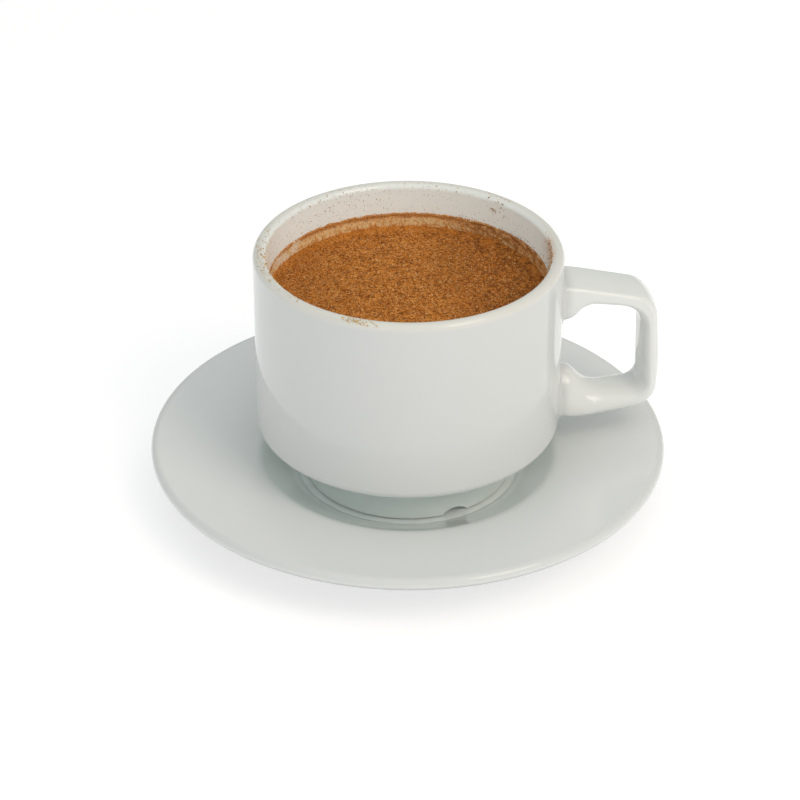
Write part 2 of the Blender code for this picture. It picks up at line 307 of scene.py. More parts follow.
def turned(name, profile, sectors):
    """A half section of (radius, height) points, from axis to axis, turned round the Z axis."""
    inner_points = profile[1:-1]
    vertices = [(0.0, 0.0, profile[0][1]), (0.0, 0.0, profile[-1][1])]
    for radius, height in inner_points:
        for sector in range(sectors):
            angle = 2.0 * math.pi * sector / sectors
            vertices.append(at_angle(radius, angle, height))
    faces = []
    last_ring = 2 + (len(inner_points) - 1) * sectors
    for sector in range(sectors):
        beside = (sector + 1) % sectors
        faces.append((0, 2 + sector, 2 + beside))
        for ring in range(len(inner_points) - 1):
            here = 2 + ring * sectors
            below = here + sectors
            faces.append((here + sector, below + sector, below + beside, here + beside))
        faces.append((last_ring + sector, 1, last_ring + beside))
    return add_piece(name, vertices, faces)


def combine(piece, helper, operation):
    """Join or cut a piece with a helper, which is then removed."""
    boolean = piece.modifiers.new(operation.title(), "BOOLEAN")
    boolean.operation = operation
    boolean.object = helper
    bpy.context.view_layer.update()
    evaluated = piece.evaluated_get(bpy.context.evaluated_depsgraph_get())
    mesh = bpy.data.meshes.new_from_object(evaluated)
    piece.modifiers.remove(boolean)
    piece.data = mesh
    bpy.data.objects.remove(helper)


def finish_edges(piece):
    """Shade smooth, with the steep edges kept sharp."""
    piece.data.shade_smooth()
    piece.data.set_sharp_from_angle(angle=STEEP_ANGLE)


# ---- saucer ----


def saucer_profile():
    """Half section of the saucer, from the recess's middle out, round the lip and back below."""
    lip_centre = (SAUCER_RADIUS - SAUCER_LIP_RADIUS, SAUCER_LIP_HEIGHT)
    lip = arc(lip_centre, SAUCER_LIP_RADIUS, SAUCER_LIP_START, SAUCER_LIP_END, SAUCER_LIP_STEPS)
    recess_rise = RECESS_EDGE_HEIGHT - RECESS_FLOOR_HEIGHT
    recess_edge = (RECESS_RADIUS, RECESS_EDGE_HEIGHT)
    recess_corner = (RECESS_RADIUS - recess_rise, RECESS_FLOOR_HEIGHT)
    floor_end = (RECESS_RADIUS - 2.0 * recess_rise, RECESS_FLOOR_HEIGHT)
    well_edge = Vector((WELL_RADIUS, WELL_EDGE_HEIGHT))
    wall_end = well_edge + (Vector(recess_edge) - well_edge).normalized() * WELL_EDGE_ROUNDING
    flange_start = well_edge + (Vector(lip[0]) - well_edge).normalized() * WELL_EDGE_ROUNDING
    upper = [(0.0, RECESS_FLOOR_HEIGHT)]
    upper += eased_bend(floor_end, recess_corner, recess_edge, RECESS_EDGE_STEPS)
    upper += sagging_run(recess_edge, wall_end, WELL_SAG, WELL_STEPS)[1:]
    upper += eased_bend(wall_end, well_edge, flange_start, WELL_EDGE_STEPS)[1:]
    upper += sagging_run(flange_start, lip[0], FLANGE_SAG, FLANGE_STEPS)[1:]
    rounding = SAUCER_RING_ROUNDING
    under = [
        (FLANGE_UNDERSIDE_OUTER, SAUCER_LIP_HEIGHT - FLANGE_OUTER_DROP),
        (FLANGE_UNDERSIDE_INNER, WELL_EDGE_HEIGHT - FLANGE_THICKNESS),
        (SAUCER_RING_OUTER, WELL_EDGE_HEIGHT - FLANGE_INNER_DROP),
    ]
    under += arc((SAUCER_RING_OUTER - rounding, rounding), rounding, 0.0, -90.0, RING_STEPS)
    under += arc((SAUCER_RING_INNER + rounding, rounding), rounding, -90.0, -180.0, RING_STEPS)
    under += [(SAUCER_RING_INNER - rounding, SAUCER_RING_HEIGHT), (0.0, SAUCER_RING_HEIGHT)]
    return close_points(upper, FINE_RUN) + lip[1:] + close_points(under, FINE_RUN)


# ---- cup ----


def cup_inner_profile():
    """Half section of the cup's inside, from the middle of its floor up to the straight wall."""
    floor_height = FOOT_BOTTOM + FOOT_HOLLOW_DEPTH + CUP_FLOOR_THICKNESS
    fillet_centre = (FOOT_NECK_RADIUS + FOOT_FILLET_RADIUS, CUP_UNDERSIDE - FOOT_FILLET_RADIUS)
    fillet_radius = FOOT_FILLET_RADIUS + CUP_WALL
    well_radius = fillet_centre[0] - fillet_radius
    floor_corner = (well_radius - CUP_FLOOR_ROUNDING, floor_height + CUP_FLOOR_ROUNDING)
    shelf_corner = (INNER_RADIUS - CUP_WALL, CUP_UNDERSIDE + 2.0 * CUP_WALL)
    profile = [(0.0, floor_height)]
    profile += arc(floor_corner, CUP_FLOOR_ROUNDING, -90.0, 0.0, CUP_FLOOR_STEPS)
    profile += arc(fillet_centre, fillet_radius, 180.0, 90.0, CUP_INNER_FILLET_STEPS)[1:]
    profile += arc(shelf_corner, CUP_WALL, -90.0, 0.0, CUP_SHELF_STEPS)
    return profile


def cup_profile():
    """Half section of the cup, from its inside floor up, over the lip and down to the foot."""
    corner = (CUP_RADIUS - CUP_CORNER_RADIUS, CUP_UNDERSIDE + CUP_CORNER_RADIUS)
    fillet = (FOOT_NECK_RADIUS + FOOT_FILLET_RADIUS, CUP_UNDERSIDE - FOOT_FILLET_RADIUS)
    foot_edge = (FOOT_RADIUS - FOOT_ROUNDING, FOOT_BOTTOM + FOOT_ROUNDING)
    ring_inner = FOOT_RADIUS - FOOT_RING_WIDTH
    profile = cup_inner_profile()
    profile.append((INNER_RADIUS, CUP_INNER_TAPER_END))
    profile += arc((LIP_MIDDLE_RADIUS, LIP_MIDDLE_HEIGHT), CUP_LIP_RADIUS, 180.0, 0.0, CUP_LIP_STEPS)
    profile += arc(corner, CUP_CORNER_RADIUS, 0.0, -90.0, CUP_CORNER_STEPS)
    profile += arc(fillet, FOOT_FILLET_RADIUS, 90.0, 180.0, FOOT_FILLET_STEPS)
    profile.append((FOOT_NECK_RADIUS, FOOT_BOTTOM + FOOT_FLARE_HEIGHT))
    profile += arc(foot_edge, FOOT_ROUNDING, 0.0, -90.0, RING_STEPS)
    profile.append((ring_inner + FOOT_ROUNDING, FOOT_BOTTOM))
    profile.append((ring_inner, FOOT_BOTTOM + FOOT_HOLLOW_DEPTH))
    profile.append((0.0, FOOT_BOTTOM + FOOT_HOLLOW_DEPTH))
    return close_points(profile, FINE_RUN)


def handle_line(corners):
    """A rounded line through (point, radius) corners: its points, and how far along it they and
    the corners lie."""
    points = []
    corner_places = []
    for index, (corner, radius) in enumerate(corners):
        if radius == 0.0:
            corner_places.append(len(points))
            points.append(corner)
        else:
            before, after = corners[index - 1][0], corners[index + 1][0]
            corner_places.append(len(points) + HANDLE_BEND_STEPS // 2)
            points += rounded_corner(before, corner, after, radius, HANDLE_BEND_STEPS)
    lengths = [0.0]
    for start, end in zip(points, points[1:]):
        lengths.append(lengths[-1] + math.dist(start, end))
    return points, lengths, [lengths[place] for place in corner_places]


def point_along(points, lengths, distance):
    """The point of a line at this distance from its start."""
    for index in range(1, len(lengths)):
        if distance <= lengths[index] or index == len(lengths) - 1:
            run = lengths[index] - lengths[index - 1]
            share = 0.0 if run == 0.0 else (distance - lengths[index - 1]) / run
            start, end = Vector(points[index - 1]), Vector(points[index])
            return start.lerp(end, min(1.0, max(0.0, share)))


def handle_section():
    """The handle's section: (across, up, normal across, normal up), with across in half widths."""
    section = []
    corners = [(1.0, 1.0, 0.0), (-1.0, 1.0, 90.0), (-1.0, -1.0, 180.0), (1.0, -1.0, 270.0)]
    for side, level, start in corners:
        for step in range(HANDLE_CORNER_STEPS + 1):
            angle = math.radians(start + 90.0 * step / HANDLE_CORNER_STEPS)
            section.append((side, level, math.cos(angle), math.sin(angle)))
        if side == level:
            for step in range(1, HANDLE_FACE_STEPS):
                share = 1.0 - 2.0 * step / HANDLE_FACE_STEPS
                section.append((side * share, level, 0.0, level))
    return section


def handle_point(outer, inner, outer_edge, inner_edge, place):
    """A point of the handle's skin in the section between an outer and an inner point."""
    side, level, across, up = place
    middle = (outer + inner) / 2.0
    rise = (outer - inner) / 2.0
    upward = rise.normalized()
    outer_edge = min(outer_edge, rise.length - HANDLE_SIDE_BAND)
    deepest = 2.0 * rise.length - outer_edge - HANDLE_SIDE_BAND
    width, depth = outer_edge, outer_edge
    if level < 0.0:
        width, depth = inner_edge.x, min(inner_edge.y, deepest)
    y = side * (HANDLE_WIDTH / 2.0 - width) + across * width
    z = level * (rise.length - depth) + up * depth
    crown = 1.0 - (2.0 * y / HANDLE_WIDTH) ** 2
    z += crown * (HANDLE_OUTER_CROWN if level > 0.0 else -HANDLE_INNER_CROWN)
    spot = middle + upward * z
    gap = math.hypot(spot.x, y) - CUP_RADIUS
    closeness = min(HANDLE_FILLET, max(0.0, HANDLE_FILLET - gap))
    flare = HANDLE_FILLET - math.sqrt(HANDLE_FILLET**2 - closeness**2)
    spot += upward * up * flare
    return (spot.x, y + across * flare, spot.y)


def make_handle():
    """The handle's loop as a loft of rounded sections, its ends sunk in the cup's wall."""
    lines = [handle_line(HANDLE_OUTER_LINE), handle_line(HANDLE_INNER_LINE)]
    section = handle_section()
    count = len(section)
    vertices = []
    for station in range(HANDLE_STATIONS + 1):
        share = station / HANDLE_STATIONS
        # The sections stand closer together at both ends and in the middle of the loop.
        travel = (share - math.sin(4.0 * math.pi * share) / (6.0 * math.pi)) * (len(HANDLE_PAIRS) - 1)
        leg = min(int(travel), len(HANDLE_PAIRS) - 2)
        part = travel - leg
        facing = []
        for index, (points, lengths, corner_places) in enumerate(lines):
            start, end = (corner_places[HANDLE_PAIRS[leg + step][index]] for step in (0, 1))
            facing.append(point_along(points, lengths, start + (end - start) * part))
        outer, inner = facing
        inner_edge = Vector(HANDLE_INNER_EDGES[leg]).lerp(Vector(HANDLE_INNER_EDGES[leg + 1]), part)
        outer_edge = HANDLE_OUTER_EDGES[leg] * (1.0 - part) + HANDLE_OUTER_EDGES[leg + 1] * part
        vertices += [handle_point(outer, inner, outer_edge, inner_edge, place) for place in section]
    faces = []
    for station in range(HANDLE_STATIONS):
        here = station * count
        ahead = here + count
        for index in range(count):
            beside = (index + 1) % count
            faces.append((here + index, here + beside, ahead + beside, ahead + index))
    faces.append(tuple(reversed(range(count))))
    faces.append(tuple(HANDLE_STATIONS * count + index for index in range(count)))
    handle = add_piece("handle_loft", vertices, faces)
    shape = bmesh.new()
    shape.from_mesh(handle.data)
    bmesh.ops.recalc_face_normals(shape, faces=shape.faces)
    shape.to_mesh(handle.data)
    shape.free()
    return handle


def make_notch_cutter():
    """A short cylinder across the foot ring that leaves an arch in its lower edge."""
    half_width = NOTCH_WIDTH / 2.0
    radius = (half_width**2 + NOTCH_HEIGHT**2) / (2.0 * NOTCH_HEIGHT)
    middle = FOOT_RADIUS - FOOT_RING_WIDTH / 2.0
    mesh = bpy.data.meshes.new("notch_cutter")
    shape = bmesh.new()
    bmesh.ops.create_cone(
        shape,
        cap_ends=True,
        segments=NOTCH_SEGMENTS,
        radius1=radius,
        radius2=radius,
        depth=2.0 * FOOT_RING_WIDTH,
        matrix=Matrix.Rotation(math.radians(90.0), 4, "Y"),
    )
    shape.to_mesh(mesh)
    shape.free()
    cutter = add_object("notch_cutter", mesh)
    height = FOOT_BOTTOM + NOTCH_HEIGHT - radius
    cutter.location = at_angle(middle, NOTCH_TURN, height)
    cutter.rotation_euler = (0.0, 0.0, NOTCH_TURN)
    return cutter


# ---- drink ----


def smooth_share(value):
    """A value from 0 to 1, eased at both ends."""
    value = min(1.0, max(0.0, value))
    return value * value * (3.0 - 2.0 * value)


def layered_noise(x, y, size, seed):
    """Soft noise, about -1 to 1, with lumps of the given size."""
    return noise.noise(Vector((x, y, LUMP_SEED + seed)) / size)


def dusting_height(x, y):
    """Height of the cinnamon's surface at a place."""
    inset = INNER_RADIUS - math.hypot(x, y)
    climb = max(0.0, 1.0 - inset / MENISCUS_WIDTH)
    fade = min(1.0, inset / MENISCUS_WIDTH)
    calm = smooth_share(inset / CALM_WIDTH)
    swell = SWELL_HEIGHT * layered_noise(x, y, SWELL_SIZE, 0.0)
    lump = LUMP_HEIGHT * layered_noise(x, y, LUMP_SIZE, 0.0)
    clump = CLUMP_HEIGHT * layered_noise(x, y, CLUMP_SIZE, CLUMP_SEED)
    crumb = CRUMB_HEIGHT * layered_noise(x, y, CRUMB_SIZE, CRUMB_SEED)
    roughness = CALM_SHARE + (1.0 - CALM_SHARE) * calm
    relief = fade * (swell + lump) + roughness * fade * (clump + crumb)
    return DRINK_LEVEL + MENISCUS_RISE * climb**2 + relief


def make_drink():
    """The drink up to its level, bedded in the cup's wall, with the dusting as relief on it."""
    edge = INNER_RADIUS + WALL_BITE
    top = [(edge * ring / DRINK_RINGS, DRINK_LEVEL) for ring in range(DRINK_RINGS + 1)]
    below = []
    for radius, height in close_points(cup_inner_profile(), DRINK_SIDE_RUN):
        bite = WALL_BITE if radius > 0.0 else 0.0
        below.append((radius + bite, height - WALL_BITE))
    drink = turned("salep_drink_top", top + below[::-1], DRINK_SECTORS)
    for vertex in drink.data.vertices:
        if abs(vertex.co.z - DRINK_LEVEL) < WALL_BITE:
            vertex.co.z = dusting_height(vertex.co.x, vertex.co.y)
    return drink


# ---- film on the wall ----


def wall_radius(height):
    """Radius of the cup's inner wall at a height below its lip."""
    if height <= CUP_INNER_TAPER_END:
        return INNER_RADIUS
    share = (height - CUP_INNER_TAPER_END) / (LIP_MIDDLE_HEIGHT - CUP_INNER_TAPER_END)
    return INNER_RADIUS + (LIP_MIDDLE_RADIUS - CUP_LIP_RADIUS - INNER_RADIUS) * min(1.0, share)


def tide_height(angle):
    """Height of the film's upper edge round the wall, a little ragged."""
    x, y = math.cos(angle), math.sin(angle)
    ragged = 0.0
    for wave_height, pace, seed in TIDE_WAVES:
        ragged += wave_height * noise.noise(Vector((x, y, seed)) * pace)
    return FILM_TOP + ragged


def film_depth(angle, height):
    """How far the film stands out from the wall; below zero it lies inside the wall."""
    top = tide_height(angle)
    x, y = math.cos(angle), math.sin(angle)
    pace, upward_pace = FILM_MOTTLE_PACE
    mottle = noise.noise(Vector((x * pace, y * pace, height * upward_pace)))
    bead = math.exp(-(((height - top + FILM_BEAD_DROP) / FILM_BEAD_WIDTH) ** 2))
    depth = FILM_THICKNESS * (1.0 + FILM_MOTTLE * mottle) + FILM_BEAD * bead
    if height > top - FILM_CREST:
        fall = (height - top + FILM_CREST) / FILM_CREST
        depth -= (FILM_THICKNESS + FILM_BEAD) * FILM_FALL * fall**2
    return depth


def make_film():
    """The thin skin of salep that clings to the wall between the drink and its tide line."""
    highest = FILM_TOP + FILM_MARGIN
    vertices = []
    for sector in range(FILM_SECTORS):
        angle = 2.0 * math.pi * sector / FILM_SECTORS
        for row in range(FILM_ROWS + 1):
            height = FILM_LOW + (highest - FILM_LOW) * row / FILM_ROWS
            depth = max(-FILM_SUNK, film_depth(angle, height))
            vertices.append(at_angle(wall_radius(height) - depth, angle, height))
        for height in (highest, FILM_LOW):
            vertices.append(at_angle(wall_radius(height) + FILM_BACKING, angle, height))
    count = FILM_ROWS + 3
    faces = []
    for sector in range(FILM_SECTORS):
        here = sector * count
        beside = ((sector + 1) % FILM_SECTORS) * count
        for row in range(count):
            above = (row + 1) % count
            faces.append((here + row, here + above, beside + above, beside + row))
    return add_piece("salep_film", vertices, faces)


# ---- grains ----


def grain_shape(rng, place, normal, size, stretch):
    """Corners and faces of one irregular grain lying on a surface."""
    side = normal.orthogonal().normalized()
    side = Matrix.Rotation(rng.uniform(0.0, 2.0 * math.pi), 3, normal) @ side
    other = normal.cross(side)
    long_half = size * stretch / 2.0
    wide_half = size / 2.0
    high_half = size * rng.uniform(*GRAIN_FLATNESS)
    spokes = [side * long_half, other * wide_half, -side * long_half, -other * wide_half]
    centre = place + normal * high_half * GRAIN_SEAT
    corners = []
    for spoke in spokes:
        wobble = rng.uniform(*GRAIN_WOBBLE)
        lift = normal * high_half * rng.uniform(-GRAIN_LIFT, GRAIN_LIFT)
        corners.append(centre + spoke * wobble + lift)
    lean = side * long_half * rng.uniform(-GRAIN_LEAN, GRAIN_LEAN)
    corners.append(centre + normal * high_half + lean)
    corners.append(centre - normal * high_half)
    faces = []
    crest, base = len(spokes), len(spokes) + 1
    for index in range(len(spokes)):
        beside = (index + 1) % len(spokes)
        faces.append((index, beside, crest))
        faces.append((beside, index, base))
    return corners, faces


def make_grains(name, seed, places, size_range, stretch_range):
    """One mesh of loose grains, each lying at a (point, normal) place."""
    rng = random.Random(seed)
    vertices = []
    faces = []
    for place, normal in places:
        size = rng.uniform(*size_range)
        stretch = rng.uniform(*stretch_range)
        corners, sides = grain_shape(rng, place, normal, size, stretch)
        start = len(vertices)
        vertices += [(corner.x, corner.y, min(corner.z, PART_TOP)) for corner in corners]
        faces += [tuple(start + corner for corner in side) for side in sides]
    piece = add_piece(name, vertices, faces)
    piece.data.shade_flat()
    return piece


def places_on_dusting(seed, count, calm):
    """Random places on the cinnamon; calm is the share of them kept right at the wall."""
    rng = random.Random(seed)
    places = []
    while len(places) < count:
        radius = (INNER_RADIUS - DUSTING_INSET) * math.sqrt(rng.random())
        angle = rng.uniform(0.0, 2.0 * math.pi)
        inset = INNER_RADIUS - radius
        keep = calm + (1.0 - calm) * smooth_share(inset / CALM_WIDTH)
        if rng.random() < keep:
            x, y = radius * math.cos(angle), radius * math.sin(angle)
            places.append((Vector((x, y, dusting_height(x, y))), Vector((0.0, 0.0, 1.0))))
    return places


def wall_place(angle, height):
    """A place on the inner wall and the way out of it."""
    inward = Vector((-math.cos(angle), -math.sin(angle), 0.0))
    radius = wall_radius(height)
    return Vector(at_angle(radius, angle, height)), inward


def lip_place(angle, turn):
    """A place on the lip: turn 180 is its inner side, 90 its top and 0 its outer side."""
    tilt = math.radians(turn)
    x, y = math.cos(angle), math.sin(angle)
    outward = Vector((x * math.cos(tilt), y * math.cos(tilt), math.sin(tilt)))
    middle = Vector((x * LIP_MIDDLE_RADIUS, y * LIP_MIDDLE_RADIUS, LIP_MIDDLE_HEIGHT))
    return middle + outward * CUP_LIP_RADIUS, outward


def spread(rng, low, high):
    """A random number that gathers towards the middle of a range."""
    return low + (high - low) * (rng.random() + rng.random()) / 2.0


def places_in(patches):
    """Random places in patches of the inner wall and the lip, in the order of the patches."""
    places = []
    for spot, seed, count, angles, span in patches:
        rng = random.Random(seed)
        for _ in range(count):
            angle = math.radians(spread(rng, *angles))
            places.append(spot(angle, rng.uniform(*span)))
    return places


# ---- finishes ----


class Signal:
    """A value that varies over a surface; arithmetic on it adds Math nodes."""

    def __init__(self, finish, socket):
        self.finish = finish
        self.socket = socket

    def __add__(self, other):
        return self.finish.maths("ADD", self, other)

    __radd__ = __add__

    def __sub__(self, other):
        return self.finish.maths("SUBTRACT", self, other)

    def __rsub__(self, other):
        return self.finish.maths("SUBTRACT", other, self)

    def __mul__(self, other):
        return self.finish.maths("MULTIPLY", self, other)

    __rmul__ = __mul__

    def __pow__(self, other):
        return self.finish.maths("POWER", self, other)


class Finish:
    """A material of nodes round one Principled shader."""

    def __init__(self, name, settings):
        self.material = bpy.data.materials.new(name)
        self.material.use_nodes = True
        self.tree = self.material.node_tree
        self.shader = self.tree.nodes["Principled BSDF"]
        for socket, value in settings.items():
            self.shader.inputs[socket].default_value = value
        self.place = self.node("TexCoord", output="Object")

    def node(self, kind, settings=None, sockets=None, output=0):
        """Add a node: its settings first, then the values or links of its sockets."""
        added = self.tree.nodes.new("ShaderNode" + kind)
        for key, value in (settings or {}).items():
            if key == "stops":
                self.set_stops(added.color_ramp, value)
            else:
                setattr(added, key, value)
        for key, value in (sockets or {}).items():
            self.feed(added.inputs[key], value)
        return Signal(self, added.outputs[output])

    def set_stops(self, ramp, stops):
        """Set a ramp's stops from (position, colour) pairs."""
        while len(ramp.elements) < len(stops):
            ramp.elements.new(1.0)
        for element, (position, colour) in zip(ramp.elements, stops):
            element.position = position
            element.color = (*colour, 1.0)

    def feed(self, socket, value):
        """Give a socket a value or a link."""
        if isinstance(value, Signal):
            self.tree.links.new(value.socket, socket)
        else:
            socket.default_value = value

    def maths(self, operation, first, second):
        """One step of arithmetic."""
        return self.node("Math", {"operation": operation}, {0: first, 1: second})

    def mix(self, share, first, second):
        """A colour between two colours."""
        first = first if isinstance(first, Signal) else (*first, 1.0)
        second = second if isinstance(second, Signal) else (*second, 1.0)
        return self.node("Mix", {"data_type": "RGBA"}, {0: share, 6: first, 7: second}, 2)

    def layers(self, colour, layers):
        """A colour under layers of other colours, each a (share, colour) pair."""
        for share, layer in layers:
            colour = self.mix(share, colour, layer)
        return colour

    def noise(self, size, detail, roughness=0.5, place=None):
        """Soft noise from 0 to 1 with lumps of the given size in metres."""
        grain = {"Scale": 1.0 / size, "Detail": detail, "Roughness": roughness}
        return self.node("TexNoise", None, {"Vector": place or self.place, **grain})

    def cells(self, size):
        """A random colour for each cell of the given size in metres."""
        return self.node("TexVoronoi", None, {"Vector": self.place, "Scale": 1.0 / size}, "Color")

    def between(self, value, low, high):
        """Goes smoothly from 0 to 1 as the value goes from low to high."""
        sockets = {"Value": value, "From Min": low, "From Max": high}
        return self.node("MapRange", {"interpolation_type": "SMOOTHSTEP"}, sockets)

    def axis(self, name):
        """One coordinate of the place on the surface, in metres."""
        return self.node("SeparateXYZ", None, {0: self.place}, name)

    def radius(self):
        """The distance from the cup's axis, in metres."""
        x, y = self.axis("X"), self.axis("Y")
        return (x * x + y * y) ** 0.5

    def angle(self):
        """The angle round the cup's axis, in degrees from its handle."""
        turn = self.maths("ARCTAN2", self.axis("Y"), self.axis("X"))
        return turn * (180.0 / math.pi)

    def sector(self, angle, rise, fall):
        """Goes from 0 to 1 over the two angles of rise and back to 0 over the two of fall."""
        return self.between(angle, *rise) * (1.0 - self.between(angle, *fall))

    def channel(self, colour, index):
        """One channel of a colour: 0 is red, 1 green and 2 blue."""
        return self.node("SeparateColor", None, {0: colour}, index)

    def bump(self, height, distance, strength):
        """Relief in the shading; distance is its depth in metres."""
        return self.node("Bump", None, {"Height": height, "Distance": distance, "Strength": strength})

    def set(self, socket, value):
        """Give the shader itself a value or a link."""
        self.feed(self.shader.inputs[socket], value)


# Base colours of the porcelain by region, with painted light and shade in them. They also stand
# in for the light of a room, so they differ more than real porcelain does.
PORCELAIN_CLOUD = 0.030
FLANGE_WHITES = ((0.830, 0.835, 0.840), (0.815, 0.820, 0.825))
# Painted shade: the saucer's rim is darker than its flange, to tone down the light on its rounding.
RIM_PAINTED_SHADE = (0.735, 0.740, 0.740)
# Painted shade: the well is darker than the flange and tinted green like the shade on this porcelain.
WELL_PAINTED_SHADE = (0.735, 0.775, 0.755)
# Painted light: the recess under the cup's foot is much lighter, to lift the shade in it, and tinted green
# like that shade.
RECESS_PAINTED_LIGHT = (0.950, 0.985, 0.985)
SIDE_WHITES = ((0.699, 0.701, 0.700), (0.685, 0.687, 0.686))
# Painted light: the cup's foot is lighter than its side, to lift the shade under the cup, and tinted green
# like that shade.
FOOT_PAINTED_LIGHT = (0.785, 0.830, 0.815)
# Painted light: the handle is lighter than the cup's side.
HANDLE_PAINTED_LIGHT = (0.820, 0.822, 0.815)
LIP_WHITE = (0.765, 0.745, 0.708)
# Painted light: the inside above the drink is much lighter than the outside.
INSIDE_PAINTED_LIGHT = ((0.950, 0.960, 0.975), (0.965, 0.975, 0.990))
# Painted glow inside the cup above the drink, for the light that comes through the thin wall.
INSIDE_GLOW = (0.056, 0.082, 0.072)
NO_GLOW = (0.0, 0.0, 0.0)

# Borders of the regions, as radii or heights: where the next one begins and where it is full.
WELL_BORDER = (WELL_RADIUS - 0.0012, WELL_RADIUS + 0.0006)
RIM_BORDER = (SAUCER_RADIUS - 0.0026, SAUCER_RADIUS - 0.0010)
RECESS_BORDER = (RECESS_RADIUS - 0.0005, RECESS_RADIUS + 0.0025)
FOOT_BORDER = (CUP_UNDERSIDE, CUP_UNDERSIDE + 0.0015)
HANDLE_BORDER = (CUP_RADIUS + 0.0006, CUP_RADIUS + 0.0040)
LIP_BORDER = (LIP_MIDDLE_HEIGHT - 0.0006, LIP_MIDDLE_HEIGHT + 0.0010)
INSIDE_BORDER = (INNER_RADIUS + 0.0002, LIP_MIDDLE_RADIUS - 0.0004)
DRINK_BORDER = (DRINK_LEVEL - 0.0010, DRINK_LEVEL)

# Brown smear that the drink left inside, above the tide line and near the handle.
SMEAR_BROWN = (0.600, 0.310, 0.110)
SMEAR_STRENGTH = 0.78
SMEAR_SECTOR = ((-24.0, -8.0), (-4.0, 12.0))
SMEAR_HEIGHTS = (FILM_TOP, FILM_TOP + 0.0060)
SMEAR_END = (LIP_MIDDLE_RADIUS - 0.0016, LIP_MIDDLE_RADIUS)

# Glaze and the bare porcelain under it.
PORE_GREY = (0.42, 0.40, 0.36)
# Painted shade: a darker grey on the saucer's surfaces that face down towards the table.
UNDERSIDE_PAINTED_SHADE = (0.30, 0.30, 0.29)
UNDER_FACING = (-0.75, -0.10)
SAUCER_UNDER_SHADE = 0.8
CUP_UNDER_SHADE = 0.0
BARE_HEIGHT = 0.0001
BARE_FADE = 0.00025
BARE_GREYS = ((0.50, 0.48, 0.43), (0.66, 0.64, 0.59))
GLAZE_ROUGHNESS = 0.030
RIPPLE_SIZE = 0.0085
RIPPLE_DEPTH = 0.00005


def saucer_body(finish):
    """Base colour of the saucer: its flange, rim, well and recess, with painted shade on the rim and
    the well and painted light in the recess.
    """
    radius = finish.radius()
    flange = finish.mix(finish.noise(PORCELAIN_CLOUD, 3.0), *FLANGE_WHITES)
    regions = [
        (finish.between(radius, *RIM_BORDER), RIM_PAINTED_SHADE),
        (1.0 - finish.between(radius, *WELL_BORDER), WELL_PAINTED_SHADE),
        (1.0 - finish.between(radius, *RECESS_BORDER), RECESS_PAINTED_LIGHT),
    ]
    return finish.layers(flange, regions)


def cup_body(finish):
    """Base colour of the cup: its side, foot, handle and lip, and its inside above the drink,
    with painted light on its foot, its handle and its inside.

    The inside has a faint painted glow too, for the light that comes through the thin wall.
    """
    radius, height = finish.radius(), finish.axis("Z")
    side = finish.mix(finish.noise(PORCELAIN_CLOUD, 3.0), *SIDE_WHITES)
    inside = (1.0 - finish.between(radius, *INSIDE_BORDER)) * finish.between(height, *DRINK_BORDER)
    finish.set("Emission Color", finish.mix(inside, NO_GLOW, INSIDE_GLOW))
    finish.set("Emission Strength", 1.0)
    smear = finish.sector(finish.angle(), *SMEAR_SECTOR)
    patchy = finish.between(finish.noise(0.0007, 4.0, 0.7), 0.40, 0.66)
    smear = smear * (0.35 + patchy * 0.65)
    smear = smear * (1.0 - finish.between(radius, *SMEAR_END))
    smear = smear * finish.between(height, *SMEAR_HEIGHTS)
    regions = [
        (1.0 - finish.between(height, *FOOT_BORDER), FOOT_PAINTED_LIGHT),
        (finish.between(radius, *HANDLE_BORDER), HANDLE_PAINTED_LIGHT),
        (finish.between(height, *LIP_BORDER), LIP_WHITE),
        (inside, finish.mix(finish.noise(0.0060, 3.0), *INSIDE_PAINTED_LIGHT)),
        (smear * SMEAR_STRENGTH, SMEAR_BROWN),
    ]
    return finish.layers(side, regions)


def glaze(name, pick_body, foot_height, under_shade):
    """Glazed porcelain: bare where its foot stands, rougher and with painted shade where it faces the table.
    """
    finish = Finish(name, {"IOR": 1.50})
    pores = finish.between(finish.noise(0.0011, 2.0), 0.70, 0.85)
    facing = finish.node("TexCoord", output="Normal")
    upward = finish.node("SeparateXYZ", None, {0: facing}, "Z")
    # Painted shade where the surface faces down towards the table.
    under = (1.0 - finish.between(upward, *UNDER_FACING)) * under_shade
    bare = 1.0 - finish.between(finish.axis("Z"), foot_height, foot_height + BARE_FADE)
    unglazed = finish.mix(finish.noise(0.0004, 4.0), *BARE_GREYS)
    layers = [(pores * 0.10, PORE_GREY), (under, UNDERSIDE_PAINTED_SHADE), (bare, unglazed)]
    finish.set("Base Color", finish.layers(pick_body(finish), layers))
    polish = GLAZE_ROUGHNESS + 0.025 * finish.noise(0.012, 2.0)
    finish.set("Roughness", polish + bare * 0.5 + under * 0.5)
    ripple = finish.noise(RIPPLE_SIZE, 2.0)
    finish.set("Normal", finish.bump(ripple, RIPPLE_DEPTH, 0.30))
    return finish.material


# Cinnamon on the drink.
POWDER_STOPS = [
    (0.30, (0.150, 0.036, 0.006)),
    (0.43, (0.380, 0.118, 0.018)),
    (0.52, (0.585, 0.206, 0.031)),
    (0.62, (0.750, 0.312, 0.074)),
    (0.74, (0.860, 0.490, 0.190)),
]
BARK_CELL = 0.00050
DARK_BARK_BIT = (0.110, 0.030, 0.006)
PALE_BARK_BIT = (0.830, 0.480, 0.210)
DAMP_POWDER = ((0.600, 0.205, 0.028), (0.760, 0.310, 0.056))
DAMP_BORDER = (INNER_RADIUS - 0.0040, INNER_RADIUS - 0.0010)
# Darker shades towards the handle's side and the far side, and from where across they begin.
HANDLE_SIDE_DARK = (0.130, 0.034, 0.006)
FAR_SIDE_DARK = (0.150, 0.040, 0.008)
HANDLE_SIDE_DARK_FROM = (0.004, 0.024)
FAR_SIDE_DARK_FROM = (0.012, 0.032)
SIDE_DARK_WANDER = 0.020
POWDER_DEPTH = 0.00030


